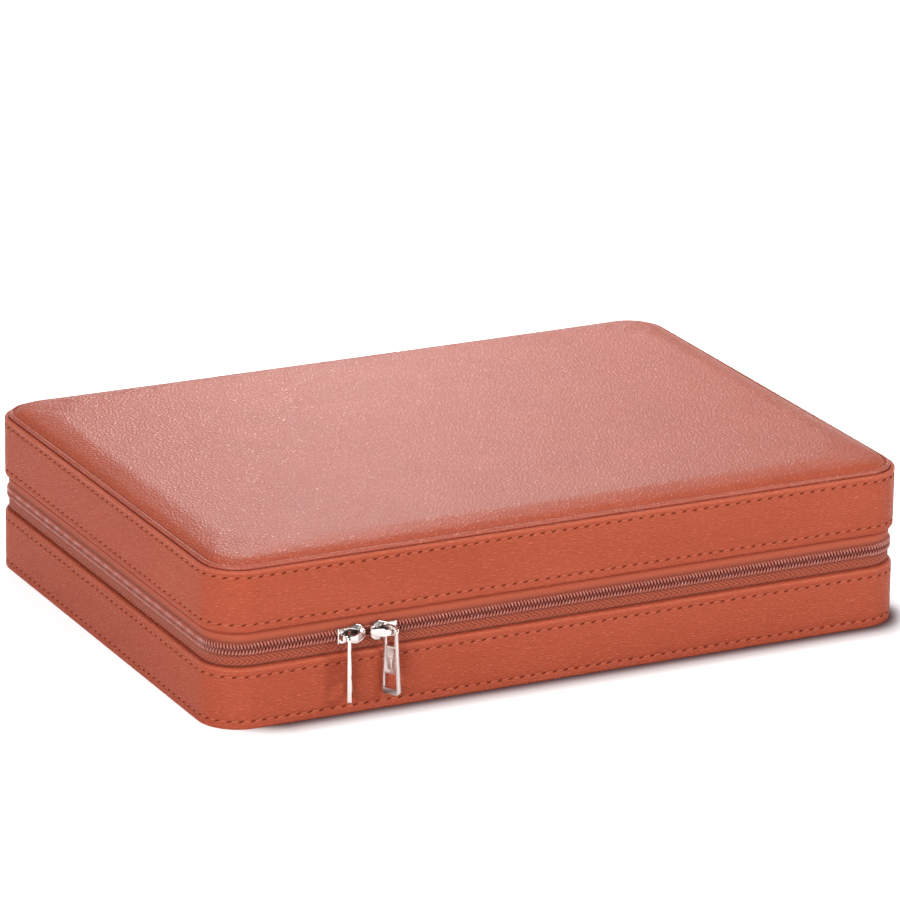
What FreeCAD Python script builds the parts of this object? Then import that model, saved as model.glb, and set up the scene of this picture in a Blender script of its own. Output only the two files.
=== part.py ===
"""A zip-round leather jewellery case: a stiff base and a padded lid, each wrapped in a leather band,
joined by a leather hinge along the back and closed by a coil zip with two sliders.

Millimetres. The origin is the middle of the underside, +Z is up, and the front faces -Y.
"""
import FreeCAD, Part
import math
import os

import Sketcher

doc = FreeCAD.newDocument("jewellery_case")
dims = doc.addObject("Spreadsheet::Sheet", "Dims")

# Driving dimensions of the whole case
CASE = {
    "case_length": 360,
    "case_depth": 263,
    "rim_height": 76,
    "corner_radius": 20,
    "base_height": 29.5,
    "lid_height": 29.8,
    "edge_roll": 2.0,
    "foot_roll": 1.2,
    "leather_thickness": 1.2,
    "board_thickness": 2.8,
    "hem_width": 8,
    "lining_thickness": 1.0,
    "fit_gap": 0.2,
}

# The pad in the lid: its rim, its upright edge and its crown
PAD = {
    "rim_width": 2.0,
    "rim_roll": 0.7,
    "rim_stand": 4.0,
    "crease_gap": 0.15,
    "pad_upright": 2.0,
    "crown_margin": 18,
    "crown_rise": 7.6,
    "pad_top_radius": 10,
}

# The zip: tape and coil, measured in from the leather's face
ZIP = {
    "tape_recess": 3.2,
    "tape_thickness": 0.8,
    "tape_hold": 9,
    "tape_edge": 1.6,
    "coil_recess": 0.9,
    "coil_half_width": 2.8,
    "coil_gap": 0.15,
    "coil_roll": 0.9,
    "zip_height": 38.2,
    "zip_return": 18,
    "left_slider_x": -112.2,
    "right_slider_x": -96.2,
    "throat_half_height": 1.6,
    "throat_taper": 5.8,
    "throat_lead": 1.8,
}

# The sliders, along the zip, across it and in from the leather's face
SLIDER = {
    "slider_tail": 7.0,
    "slider_neck": 1.5,
    "slider_half_width": 3.8,
    "nose_radius": 4.9,
    "nose_centre": 2.0,
    "front_plate_proud": 0.7,
    "front_plate_thickness": 1.3,
    "lip_thickness": 0.8,
    "lip_depth": 2.3,
    "lip_end": 1.2,
    "back_plate_depth": 5.4,
    "back_plate_thickness": 1.1,
    "wedge_tip": 0.6,
    "wedge_waist": 4.2,
    "wedge_end": 5.6,
    "wedge_half_width": 1.2,
    "strap_stand": 4.45,
    "strap_thickness": 1.5,
    "strap_tail": 6.4,
    "strap_post": 0.85,
    "strap_shoulder": 1.0,
    "strap_crest": 1.0,
    "strap_foot": 6.6,
    "strap_foot_thickness": 2.2,
    "strap_neck_half_width": 1.2,
    "strap_neck_end": -1.0,
    "strap_half_width": 1.9,
    "strap_leaf_start": 1.4,
    "strap_leaf_end": 3.6,
    "strap_tip_half_width": 1.1,
    "plate_round": 0.35,
}

# The pulls, from the strap that they hang on
PULL = {
    "left_pull_x": -115.3,
    "right_pull_x": -94.4,
    "pull_head_radius": 3.7,
    "pull_head_drop": 0.4,
    "pull_eye_radius": 2.4,
    "pull_eye_length": 6.6,
    "pull_reach": 29.7,
    "pull_foot_half_width": 4.9,
    "pull_foot_thickness": 2.0,
    "pull_head_thickness": 1.1,
    "pull_rail": 1.3,
    "pull_window_top": 19.8,
    "pull_window_foot": 26.9,
    "pull_panel_top": 7.6,
    "pull_panel_foot": 18.6,
    "pull_panel_thickness": 1.3,
    "pull_bar_half_width": 0.65,
    "pull_bar_top": 12.4,
    "pull_bar_foot": 17.6,
    "pull_corner": 1.4,
    "pull_lean": 1.8,
    "left_pull_twist": -27,
    "right_pull_twist": 30,
}

# What fills the base: tray, dividers and ring rolls
TRAY = {
    "tray_inset": 6,
    "tray_wall": 2.5,
    "tray_floor": 2.0,
    "tray_top": 46,
    "divider_thickness": 3,
    "divider_top": 40,
    "divider_round": 1.0,
    "divider_long_y": -30,
    "divider_cross_x": 86,
    "roll_height": 27,
    "roll_width": 20.9,
    "roll_pitch": 21.5,
    "roll_foot_half_width": 9.4,
    "roll_end_gap": 0.5,
    "roll_end_bevel": 2.5,
}
ROLL_COUNT = 7

# Points nearer than this are the same point
NEAR = 1e-4

# Degrees between the pad's outlines, on its outside and on the hidden face under the leather
FINE_STEP = 15
COARSE_STEP = 30

# Sizes that follow from the driving ones
DERIVED = {
    "lid_foot": "=rim_height - lid_height",
    "board_inner": "=leather_thickness + board_thickness",
    "base_floor": "=leather_thickness + board_thickness",
    "base_wall_top": "=base_height - leather_thickness",
    "lid_wall_foot": "=lid_foot + leather_thickness",
    "pad_foot": "=rim_height - rim_stand",
    "lid_roof": "=pad_foot - board_thickness",
    "pad_inset": "=rim_width + crease_gap",
    "tape_inner": "=tape_recess + tape_thickness",
    "tape_foot": "=base_height - tape_hold",
    "tape_head": "=lid_foot + tape_hold",
    "hinge_half_span": "=case_length / 2 - corner_radius - zip_return",
    "tray_foot": "=base_floor + tray_floor",
    "tray_inner": "=tray_inset + tray_wall",
}


def fill_sheet(groups):
    """Writes each size to a cell of the sheet, with its name as the alias."""
    row = 1
    for group in groups:
        for alias, content in group.items():
            dims.set(f"A{row}", alias)
            dims.set(f"B{row}", str(content))
            dims.setAlias(f"B{row}", alias)
            row += 1
    doc.recompute()


fill_sheet([CASE, PAD, ZIP, SLIDER, PULL, TRAY, DERIVED])


def on_sheet(expression):
    """The expression with each alias written as a cell of the sheet."""
    words = []
    word = ""
    for letter in expression + " ":
        if letter.isalnum() or letter in "_.":
            word += letter
            continue
        words.append(f"Dims.{word}" if word and word[0].isalpha() else word)
        words.append(letter)
        word = ""
    return "".join(words).strip()


def size(expression):
    """An expression's value in millimetres or degrees."""
    return float(dims.evalExpression(on_sheet(expression)))


def new_body(label):
    """An empty body with the sub-part's name."""
    body = doc.addObject("PartDesign::Body", label)
    body.Label = label
    return body


def new_sketch(body, name, plane, offset):
    """A sketch on one of the body's own planes, moved along that plane's normal."""
    sketch = body.newObject("Sketcher::SketchObject", f"{body.Name}_{name}")
    support = [feature for feature in body.Origin.OriginFeatures if feature.Role == plane][0]
    sketch.AttachmentSupport = [(support, "")]
    sketch.MapMode = "FlatFace"
    sketch.setExpression("AttachmentOffset.Base.z", on_sheet(offset))
    return sketch


def bind(sketch, constraint, expression):
    """Adds a dimension to a sketch and ties it to the sheet."""
    index = sketch.addConstraint(constraint)
    sketch.setExpression(f"Constraints[{index}]", on_sheet(expression))


def place_point(sketch, line, end, across, along):
    """Holds one end of a line at a place given by two expressions."""
    for axis, expression, kind in ((-2, across, "DistanceX"), (-1, along, "DistanceY")):
        value = size(expression)
        if abs(value) < NEAR:
            sketch.addConstraint(Sketcher.Constraint("PointOnObject", line, end, axis))
        else:
            bind(sketch, Sketcher.Constraint(kind, line, end, value), expression)


def add_lines(sketch, corners):
    """Joined straight lines through corners given as pairs of expressions; returns the lines."""
    points = [FreeCAD.Vector(size(across), size(along), 0) for across, along in corners]
    lines = []
    for point, following in zip(points, points[1:]):
        lines.append(sketch.addGeometry(Part.LineSegment(point, following)))
    for line, following in zip(lines, lines[1:]):
        sketch.addConstraint(Sketcher.Constraint("Coincident", line, 2, following, 1))
    for line, (across, along) in zip(lines, corners):
        place_point(sketch, line, 1, across, along)
    return lines


def add_polygon(sketch, corners):
    """A closed outline of straight sides through corners given as pairs of expressions."""
    lines = add_lines(sketch, corners + corners[:1])
    sketch.addConstraint(Sketcher.Constraint("Coincident", lines[-1], 2, lines[0], 1))


def add_arc(sketch, across, along, radius, start, end):
    """An arc about a centre given by expressions, between two angles in degrees."""
    centre = FreeCAD.Vector(size(across), size(along), 0)
    circle = Part.Circle(centre, FreeCAD.Vector(0, 0, 1), size(radius))
    return sketch.addGeometry(Part.ArcOfCircle(circle, math.radians(start), math.radians(end)))


def close_with_arc(sketch, arc, lines):
    """Joins an arc's end to the start of a chain of lines, and the chain's end to the arc's start."""
    sketch.addConstraint(Sketcher.Constraint("Coincident", arc, 2, lines[0], 1))
    sketch.addConstraint(Sketcher.Constraint("Coincident", arc, 1, lines[-1], 2))


def add_rounded_outline(sketch, inset, radius):
    """The case's rounded outline moved in by inset, with corners of the given radius."""
    half_x = size(f"case_length / 2 - ({inset}) - ({radius})")
    half_y = size(f"case_depth / 2 - ({inset}) - ({radius})")
    bend = size(radius)
    centres = [(half_x, half_y), (-half_x, half_y), (-half_x, -half_y), (half_x, -half_y)]
    arcs = []
    for quarter, (x, y) in enumerate(centres):
        circle = Part.Circle(FreeCAD.Vector(x, y, 0), FreeCAD.Vector(0, 0, 1), bend)
        start = quarter * math.pi / 2
        arcs.append(sketch.addGeometry(Part.ArcOfCircle(circle, start, start + math.pi / 2)))
    lines = []
    for quarter, arc in enumerate(arcs):
        ends = sketch.Geometry[arc].EndPoint, sketch.Geometry[arcs[(quarter + 1) % 4]].StartPoint
        lines.append(sketch.addGeometry(Part.LineSegment(*ends)))
    for quarter, line in enumerate(lines):
        sketch.addConstraint(Sketcher.Constraint("Tangent", arcs[quarter], 2, line, 1))
        sketch.addConstraint(Sketcher.Constraint("Tangent", line, 2, arcs[(quarter + 1) % 4], 1))
        sketch.addConstraint(Sketcher.Constraint("Vertical" if quarter % 2 else "Horizontal", line))
    for arc in arcs[1:]:
        sketch.addConstraint(Sketcher.Constraint("Equal", arcs[0], arc))
    sketch.addConstraint(Sketcher.Constraint("Symmetric", arcs[0], 3, arcs[2], 3, -1, 1))
    bind(sketch, Sketcher.Constraint("Radius", arcs[0], bend), radius)
    bind(sketch, Sketcher.Constraint("DistanceX", arcs[1], 3, arcs[0], 3, 2 * half_x),
         f"case_length - 2 * ({inset}) - 2 * ({radius})")
    bind(sketch, Sketcher.Constraint("DistanceY", arcs[3], 3, arcs[0], 3, 2 * half_y),
         f"case_depth - 2 * ({inset}) - 2 * ({radius})")


def outline_sketch(body, name, inset, height):
    """A level sketch of the case's outline, with corners that share the case's corner centres."""
    sketch = new_sketch(body, name, "XY_Plane", height)
    add_rounded_outline(sketch, inset, f"corner_radius - ({inset})")
    return sketch


def pad(body, sketch, length, against=False):
    """Thickens a sketch along its normal, or against it."""
    feature = body.newObject("PartDesign::Pad", f"{sketch.Name}_pad")
    feature.Profile = sketch
    feature.setExpression("Length", on_sheet(length))
    feature.Reversed = against
    doc.recompute()


def pocket(body, sketch, length, midplane=False, along=False):
    """Cuts a sketch out of the body against its normal, along it or to both sides, and makes sure that it
    took something away."""
    before = body.Shape.Volume
    feature = body.newObject("PartDesign::Pocket", f"{sketch.Name}_pocket")
    feature.Profile = sketch
    feature.setExpression("Length", on_sheet(length))
    feature.Midplane = midplane
    feature.Reversed = along
    doc.recompute()
    if body.Shape.Volume >= before:
        raise RuntimeError(f"{feature.Name} cuts nothing")


def soften(body, kind, measure, amount, chosen):
    """Rounds or bevels the edges of the body's last feature that the test picks."""
    base = body.Tip
    names = [f"Edge{number}" for number, edge in enumerate(base.Shape.Edges, 1) if chosen(edge)]
    feature = body.newObject(f"PartDesign::{kind}", f"{base.Name}_soft")
    feature.Base = (base, names)
    feature.setExpression(measure, on_sheet(amount))
    doc.recompute()


def fillet(body, radius, chosen):
    """Rounds edges to a radius."""
    soften(body, "Fillet", "Radius", radius, chosen)


def bevel(body, width, chosen):
    """Cuts edges off at half a right angle."""
    soften(body, "Chamfer", "Size", width, chosen)


def inset_of(point):
    """How far a point lies inside the case's outer outline, seen from above."""
    reach_x = abs(point.x) - size("case_length / 2 - corner_radius")
    reach_y = abs(point.y) - size("case_depth / 2 - corner_radius")
    outside = math.hypot(max(reach_x, 0), max(reach_y, 0)) + min(max(reach_x, reach_y), 0)
    return size("corner_radius") - outside


def on_loops(*loops):
    """A test for the edges of level loops, each given by its inset and its height."""
    places = [(size(inset), size(height)) for inset, height in loops]

    def chosen(edge):
        middle = edge.valueAt((edge.FirstParameter + edge.LastParameter) / 2)
        points = [middle] + [vertex.Point for vertex in edge.Vertexes]
        return any(
            all(abs(point.z - height) < NEAR and abs(inset_of(point) - inset) < NEAR for point in points)
            for inset, height in places
        )

    return chosen


def plate(label, inset, foot, top):
    """A solid slab with the case's outline."""
    body = new_body(label)
    pad(body, outline_sketch(body, "outline", inset, foot), f"({top}) - ({foot})")
    return body


def hollow(body, name, inset, foot, top):
    """Clears the case's outline out of a body, from top down to foot."""
    pocket(body, outline_sketch(body, name, inset, top), f"({top}) - ({foot})")


def block(label, low, high):
    """A box between two corners given as expressions."""
    body = new_body(label)
    sketch = new_sketch(body, "outline", "XY_Plane", low[2])
    add_polygon(sketch, [(low[0], low[1]), (high[0], low[1]), (high[0], high[1]), (low[0], high[1])])
    pad(body, sketch, f"({high[2]}) - ({low[2]})")
    return body


# Base: floor board, and a wall board whose upper inside edge is rebated for the zip tape
plate("base_floor_board", "leather_thickness", "leather_thickness", "base_floor")

base_wall_board = plate("base_wall_board", "leather_thickness", "base_floor", "base_wall_top")
hollow(base_wall_board, "room", "board_inner", "base_floor", "base_wall_top")
hollow(base_wall_board, "rebate", "tape_recess", "tape_foot", "base_wall_top")

# Base: leather band, turned under at the foot and rolled in to the tape at the top
base_side_leather = plate("base_side_leather", "0", "0", "base_height")
fillet(base_side_leather, "edge_roll", on_loops(("0", "base_height")))
bevel(base_side_leather, "foot_roll", on_loops(("0", "0")))
hollow(base_side_leather, "mouth", "tape_recess", "base_wall_top", "base_height")
hollow(base_side_leather, "room", "leather_thickness", "leather_thickness", "base_wall_top")
hollow(base_side_leather, "underside", "hem_width", "0", "leather_thickness")

plate("base_bottom_leather", "hem_width + fit_gap", "0", "leather_thickness")

# Lid: wall board with the same rebate, and the top board that carries the pad
lid_wall_board = plate("lid_wall_board", "leather_thickness", "lid_wall_foot", "lid_roof")
hollow(lid_wall_board, "room", "board_inner", "lid_wall_foot", "lid_roof")
hollow(lid_wall_board, "rebate", "tape_recess", "lid_wall_foot", "tape_head")

plate("lid_top_board", "leather_thickness", "lid_roof", "pad_foot")

# Lid: leather band, rolled in to the tape below and folded into a thin standing rim above
lid_side_leather = plate("lid_side_leather", "0", "lid_foot", "rim_height")
fillet(lid_side_leather, "edge_roll", on_loops(("0", "lid_foot")))
hollow(lid_side_leather, "well", "rim_width", "pad_foot", "rim_height")
bevel(lid_side_leather, "rim_roll", on_loops(("0", "rim_height"), ("rim_width", "rim_height")))
hollow(lid_side_leather, "room", "leather_thickness", "lid_wall_foot", "pad_foot")
hollow(lid_side_leather, "mouth", "tape_recess", "lid_foot", "lid_wall_foot")

lid_lining = plate("lid_lining", "board_inner", "lid_foot", "lid_roof")
hollow(lid_lining, "room", "board_inner + lining_thickness", "lid_foot", "lid_roof - lining_thickness")


def crown_sections(body, name, skin, step):
    """Level outlines of the crowned pad, one skin's thickness inside its surface.

    The margin rises as a quarter of an ellipse, taken at every step of so many degrees.
    """
    sketches = []
    for degrees in range(0, 91, step):
        inwards = 1 - math.cos(math.radians(degrees))
        upwards = math.sin(math.radians(degrees))
        squared = 1 - degrees / 90
        sketch = new_sketch(body, f"{name}_{degrees}", "XY_Plane",
                            f"pad_foot + pad_upright + (crown_rise - {skin}) * {upwards:.6f}")
        add_rounded_outline(
            sketch,
            f"pad_inset + {skin} + crown_margin * {inwards:.6f}",
            f"pad_top_radius + (corner_radius - pad_inset - {skin} - pad_top_radius) * {squared:.6f}",
        )
        sketches.append(sketch)
    return sketches


def loft(body, kind, sketches, ruled):
    """A skin through level outlines, added to or taken from the body."""
    feature = body.newObject(f"PartDesign::{kind}", f"{sketches[0].Name}_loft")
    feature.Profile = sketches[0]
    feature.Sections = sketches[1:]
    feature.Ruled = ruled
    doc.recompute()


# Lid: crowned foam on the top board, and the leather drawn over it and tucked in behind the rim
lid_foam_pad = plate("lid_foam_pad", "pad_inset + leather_thickness", "pad_foot", "pad_foot + pad_upright")
foam_crown = crown_sections(lid_foam_pad, "crown", "leather_thickness", COARSE_STEP)
loft(lid_foam_pad, "AdditiveLoft", foam_crown, ruled=True)

lid_top_leather = plate("lid_top_leather", "pad_inset", "pad_foot", "pad_foot + pad_upright")
leather_crown = crown_sections(lid_top_leather, "crown", "0", FINE_STEP)
loft(lid_top_leather, "AdditiveLoft", leather_crown, ruled=True)
leather_bed = crown_sections(lid_top_leather, "bed", "leather_thickness", COARSE_STEP)
loft(lid_top_leather, "SubtractiveLoft", leather_bed, ruled=True)
hollow(lid_top_leather, "room", "pad_inset + leather_thickness", "pad_foot", "pad_foot + pad_upright")


def clear_back(body, foot, top):
    """Ends a zip piece on both sides of the hinge strip by clearing the stretch between them."""
    sketch = new_sketch(body, "back", "XY_Plane", top)
    add_polygon(sketch, [
        ("-hinge_half_span", "case_depth / 2 - corner_radius"),
        ("hinge_half_span", "case_depth / 2 - corner_radius"),
        ("hinge_half_span", "case_depth / 2 + edge_roll"),
        ("-hinge_half_span", "case_depth / 2 + edge_roll"),
    ])
    pocket(body, sketch, f"({top}) - ({foot})")


def zip_tape(label, foot, top):
    """Half of the woven tape, round three sides and both back corners."""
    body = plate(label, "tape_recess", foot, top)
    hollow(body, "room", "tape_inner", foot, top)
    clear_back(body, foot, top)


def open_throat(body):
    """Parts the coils between the two sliders, where their wedges stand."""
    sketch = new_sketch(body, "throat", "XZ_Plane", "case_depth / 2")
    left_tip = "left_slider_x - throat_lead"
    right_tip = "right_slider_x + throat_lead"
    low = "zip_height - throat_half_height"
    high = "zip_height + throat_half_height"
    add_polygon(sketch, [
        (left_tip, "zip_height"),
        (f"{left_tip} + throat_taper", low),
        (f"{right_tip} - throat_taper", low),
        (right_tip, "zip_height"),
        (f"{right_tip} - throat_taper", high),
        (f"{left_tip} + throat_taper", high),
    ])
    pocket(body, sketch, "corner_radius / 2")


def zip_coil(label, foot, top):
    """Half of the nylon coil, as the rounded bead that its close turns make on the tape's face."""
    body = plate(label, "coil_recess", foot, top)
    bevel(body, "coil_roll", on_loops(("coil_recess", foot), ("coil_recess", top)))
    hollow(body, "room", "tape_recess", foot, top)
    clear_back(body, foot, top)
    open_throat(body)


zip_tape("zip_tape_lower", "tape_foot", "zip_height - tape_edge")
zip_tape("zip_tape_upper", "zip_height + tape_edge", "tape_head")
zip_coil("zip_coil_lower", "zip_height - coil_half_width", "zip_height - coil_gap")
zip_coil("zip_coil_upper", "zip_height + coil_gap", "zip_height + coil_half_width")

# The leather hinge: a strip in the recess along the back, glued into the rebates of both walls
block(
    "back_hinge_leather",
    ("-hinge_half_span + fit_gap", "case_depth / 2 - tape_inner", "tape_foot"),
    ("hinge_half_span - fit_gap", "case_depth / 2 - tape_recess", "tape_head"),
)


def slider_plate(body, name, depth, thickness):
    """One plate of a slider: a square tail, a flared shoulder and a round nose."""
    sketch = new_sketch(body, name, "XZ_Plane", f"-({depth})")
    nose = add_arc(sketch, "nose_centre", "0", "nose_radius", -90, 90)
    lines = add_lines(sketch, [
        ("nose_centre", "nose_radius"),
        ("-slider_neck", "slider_half_width"),
        ("-slider_tail", "slider_half_width"),
        ("-slider_tail", "-slider_half_width"),
        ("-slider_neck", "-slider_half_width"),
        ("nose_centre", "-nose_radius"),
    ])
    close_with_arc(sketch, nose, lines)
    bind(sketch, Sketcher.Constraint("DistanceX", nose, 3, size("nose_centre")), "nose_centre")
    place_point(sketch, lines[-1], 2, "nose_centre", "-nose_radius")
    pad(body, sketch, thickness)


def strap(body):
    """The arched strap over a slider's front plate, on a post at the tail, that the pull hangs on: narrow
    where the pull's eye runs, and a broad leaf where it comes down to the nose."""
    crest = "(strap_stand + strap_thickness / 2)"
    under = "(strap_stand - strap_thickness / 2)"
    post = "(strap_tail - strap_post)"
    arch = new_sketch(body, "strap", "XY_Plane", "-strap_half_width")
    add_polygon(arch, [
        ("-strap_tail", "0"),
        ("-strap_tail", f"strap_shoulder - {crest}"),
        ("strap_shoulder - strap_tail", f"-{crest}"),
        ("strap_crest", f"-{crest}"),
        ("strap_foot", "-front_plate_proud - plate_round"),
        ("strap_foot", "0"),
        ("strap_foot - strap_foot_thickness", "0"),
        ("strap_crest", f"-{under}"),
        (f"strap_shoulder / 2 - {post}", f"-{under}"),
        (f"-{post}", f"strap_shoulder / 2 - {under}"),
        (f"-{post}", "0"),
    ])
    pad(body, arch, "2 * strap_half_width")

    leaf = new_sketch(body, "leaf", "XZ_Plane", "front_plate_proud")
    for side in ("", "-"):
        add_polygon(leaf, [
            ("-slider_tail", f"{side}(strap_neck_half_width)"),
            ("strap_neck_end", f"{side}(strap_neck_half_width)"),
            ("strap_leaf_start", f"{side}(strap_half_width)"),
            ("strap_leaf_end", f"{side}(strap_half_width)"),
            ("slider_tail", f"{side}(strap_tip_half_width)"),
            ("slider_tail", f"{side}(nose_radius)"),
            ("-slider_tail", f"{side}(nose_radius)"),
        ])
    pocket(body, leaf, "2 * strap_stand", along=True)


def slider(label, place, half_turn):
    """A cast zip slider, nose along +X: two plates, the wedge that parts the coils, two guiding lips and
    the strap that the pull hangs on. Its own origin is on the leather's face, at the middle of the coil."""
    body = new_body(label)
    inner_face = "front_plate_thickness - front_plate_proud"
    slider_plate(body, "front", inner_face, "front_plate_thickness")
    fillet(body, "plate_round", lambda edge: all(
        abs(corner.Point.y + size("front_plate_proud")) < NEAR for corner in edge.Vertexes
    ))

    lips = new_sketch(body, "lips", "XZ_Plane", f"-({inner_face})")
    for side in ("", "-"):
        add_polygon(lips, [
            ("-slider_tail", f"{side}(slider_half_width)"),
            ("-slider_tail", f"{side}(slider_half_width - lip_thickness)"),
            ("-slider_neck", f"{side}(slider_half_width - lip_thickness)"),
            ("lip_end", f"{side}(nose_radius - lip_thickness - fit_gap)"),
            ("lip_end", f"{side}(nose_radius - fit_gap)"),
            ("-slider_neck", f"{side}(slider_half_width)"),
        ])
    pad(body, lips, "lip_depth", against=True)

    wedge = new_sketch(body, "wedge", "XZ_Plane", f"-({inner_face})")
    add_polygon(wedge, [
        ("wedge_tip", "0"),
        ("wedge_waist", "-wedge_half_width"),
        ("wedge_end", "-wedge_half_width / 2"),
        ("wedge_end", "wedge_half_width / 2"),
        ("wedge_waist", "wedge_half_width"),
    ])
    pad(body, wedge, f"back_plate_depth - ({inner_face})", against=True)
    slider_plate(body, "back", "back_plate_depth", "back_plate_thickness")

    strap(body)

    turn = FreeCAD.Rotation(FreeCAD.Vector(0, 1, 0), half_turn)
    body.Placement = FreeCAD.Placement(FreeCAD.Vector(0, 0, 0), turn)
    body.setExpression("Placement.Base.x", on_sheet(place))
    body.setExpression("Placement.Base.y", on_sheet("-case_depth / 2"))
    body.setExpression("Placement.Base.z", on_sheet("zip_height"))


slider("slider_left", "left_slider_x", 0)
slider("slider_right", "right_slider_x", 180)


def add_arched_outline(sketch, radius, foot, foot_half_width):
    """A loop with a half-round head over the strap and straight sides down to a level foot."""
    level = "-pull_head_drop"
    head = add_arc(sketch, "0", level, radius, 0, 180)
    lines = add_lines(sketch, [
        (f"-({radius})", level),
        (f"-({foot_half_width})", foot),
        (foot_half_width, foot),
        (radius, level),
    ])
    close_with_arc(sketch, head, lines)
    sketch.addConstraint(Sketcher.Constraint("PointOnObject", head, 3, -2))
    bind(sketch, Sketcher.Constraint("DistanceY", head, 3, size(level)), level)
    bind(sketch, Sketcher.Constraint("DistanceY", lines[-1], 2, size(level)), level)


def pull_half_width(drop):
    """Half of the pull's width at a drop below the strap, as an expression."""
    share = f"(({drop}) - pull_head_drop) / (pull_reach - pull_head_drop)"
    return f"(pull_head_radius + (pull_foot_half_width - pull_head_radius) * {share})"


def sink_panel(body, side):
    """Sinks the panel between the rails on one face of a pull, round a small raised bar."""
    name = "panel_right" if side > 0 else "panel_left"
    sketch = new_sketch(body, name, "YZ_Plane", f"{side} * pull_panel_thickness / 2")
    top_width = f"({pull_half_width('pull_panel_top')} - pull_rail)"
    foot_width = f"({pull_half_width('pull_panel_foot')} - pull_rail)"
    add_polygon(sketch, [
        (f"-{top_width}", "-pull_panel_top"),
        (f"-{foot_width}", "-pull_panel_foot"),
        (foot_width, "-pull_panel_foot"),
        (top_width, "-pull_panel_top"),
    ])
    add_polygon(sketch, [
        ("-pull_bar_half_width", "-pull_bar_top"),
        ("-pull_bar_half_width", "-pull_bar_foot"),
        ("pull_bar_half_width", "-pull_bar_foot"),
        ("pull_bar_half_width", "-pull_bar_top"),
    ])
    pocket(body, sketch, "pull_foot_thickness", along=side > 0)


def pull(label, place, twist):
    """A slider's pull: a flat bar that widens and thickens to its foot, with an eye for the strap, a sunk
    panel on both faces with a small raised bar, and an open window above the foot."""
    body = new_body(label)
    outline = new_sketch(body, "outline", "YZ_Plane", "-pull_foot_thickness / 2")
    add_arched_outline(outline, "pull_head_radius", "-pull_reach", "pull_foot_half_width")
    pad(body, outline, "pull_foot_thickness")
    fillet(body, "pull_corner", lambda edge: abs(edge.BoundBox.ZMax + size("pull_reach")) < NEAR
           and edge.BoundBox.YLength < NEAR)

    slope = new_sketch(body, "slope", "XZ_Plane", "0")
    for side in ("", "-"):
        add_polygon(slope, [
            (f"{side}(pull_head_thickness / 2)", "pull_head_radius + fit_gap"),
            (f"{side}(pull_foot_thickness / 2)", "-pull_reach"),
            (f"{side}(pull_foot_thickness)", "-pull_reach"),
            (f"{side}(pull_foot_thickness)", "pull_head_radius + fit_gap"),
        ])
    pocket(body, slope, "4 * pull_foot_half_width", midplane=True)

    eye = new_sketch(body, "eye", "YZ_Plane", "0")
    add_arched_outline(eye, "pull_eye_radius", "-pull_eye_length", "pull_eye_radius")
    pocket(body, eye, "4 * pull_foot_thickness", midplane=True)

    window = new_sketch(body, "window", "YZ_Plane", "0")
    top_width = f"({pull_half_width('pull_window_top')} - pull_rail)"
    foot_width = f"({pull_half_width('pull_window_foot')} - pull_rail)"
    add_polygon(window, [
        (f"-{top_width}", "-pull_window_top"),
        (f"-{foot_width}", "-pull_window_foot"),
        (foot_width, "-pull_window_foot"),
        (top_width, "-pull_window_top"),
    ])
    pocket(body, window, "4 * pull_foot_thickness", midplane=True)

    body.Placement = FreeCAD.Placement(
        FreeCAD.Vector(0, 0, 0),
        FreeCAD.Rotation(FreeCAD.Vector(1, 0, 0), -size("pull_lean"))
        * FreeCAD.Rotation(FreeCAD.Vector(0, 0, 1), size(twist)),
    )
    sink_panel(body, 1)
    sink_panel(body, -1)
    body.setExpression("Placement.Base.x", on_sheet(place))
    body.setExpression("Placement.Base.y", on_sheet("-case_depth / 2 - strap_stand"))
    body.setExpression("Placement.Base.z", on_sheet("zip_height"))


pull("pull_left", "left_pull_x", "left_pull_twist")
pull("pull_right", "right_pull_x", "right_pull_twist")

# Inside the base: the tray, standing on the floor board and reaching past the zip
insert_tray = plate("insert_tray", "tray_inset", "base_floor", "tray_top")
hollow(insert_tray, "room", "tray_inner", "tray_foot", "tray_top")


def notch(body, name, low, high, foot, top):
    """Cuts half of a lap joint out of a divider."""
    sketch = new_sketch(body, name, "XY_Plane", top)
    add_polygon(sketch, [(low[0], low[1]), (high[0], low[1]), (high[0], high[1]), (low[0], high[1])])
    pocket(body, sketch, f"({top}) - ({foot})")


# Dividers: one along the tray, two across it half-lapped over the first, and a short one in front
half_thick = "divider_thickness / 2"
lap = "(divider_thickness / 2 + fit_gap / 2)"
lap_height = "(tray_foot + divider_top) / 2"
half_length = "(case_length / 2 - tray_inner)"
half_depth = "(case_depth / 2 - tray_inner)"

divider_long = block(
    "divider_long",
    (f"-{half_length}", f"divider_long_y - {half_thick}", "tray_foot"),
    (half_length, f"divider_long_y + {half_thick}", "divider_top"),
)
dividers = [divider_long]
for name, side in (("left", "-"), ("right", "")):
    place = f"{side}divider_cross_x"
    divider = block(
        f"divider_cross_{name}",
        (f"{place} - {half_thick}", f"-{half_depth}", "tray_foot"),
        (f"{place} + {half_thick}", half_depth, "divider_top"),
    )
    low = (f"{place} - divider_thickness", f"divider_long_y - {lap}")
    high = (f"{place} + divider_thickness", f"divider_long_y + {lap}")
    notch(divider, "lap", low, high, "tray_foot", lap_height)
    low = (f"{place} - {lap}", "divider_long_y - divider_thickness")
    high = (f"{place} + {lap}", "divider_long_y + divider_thickness")
    notch(divider_long, f"lap_{name}", low, high, lap_height, "divider_top")
    dividers.append(divider)

divider_front_middle = block(
    "divider_front_middle",
    (f"-{half_thick}", f"-{half_depth}", "tray_foot"),
    (half_thick, f"divider_long_y - {half_thick}", "divider_top"),
)
dividers.append(divider_front_middle)
for divider in dividers:
    fillet(divider, "divider_round", lambda edge: edge.Length > 2 * size("divider_thickness")
           and all(abs(end.Point.z - size("divider_top")) < NEAR for end in edge.Vertexes))


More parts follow.
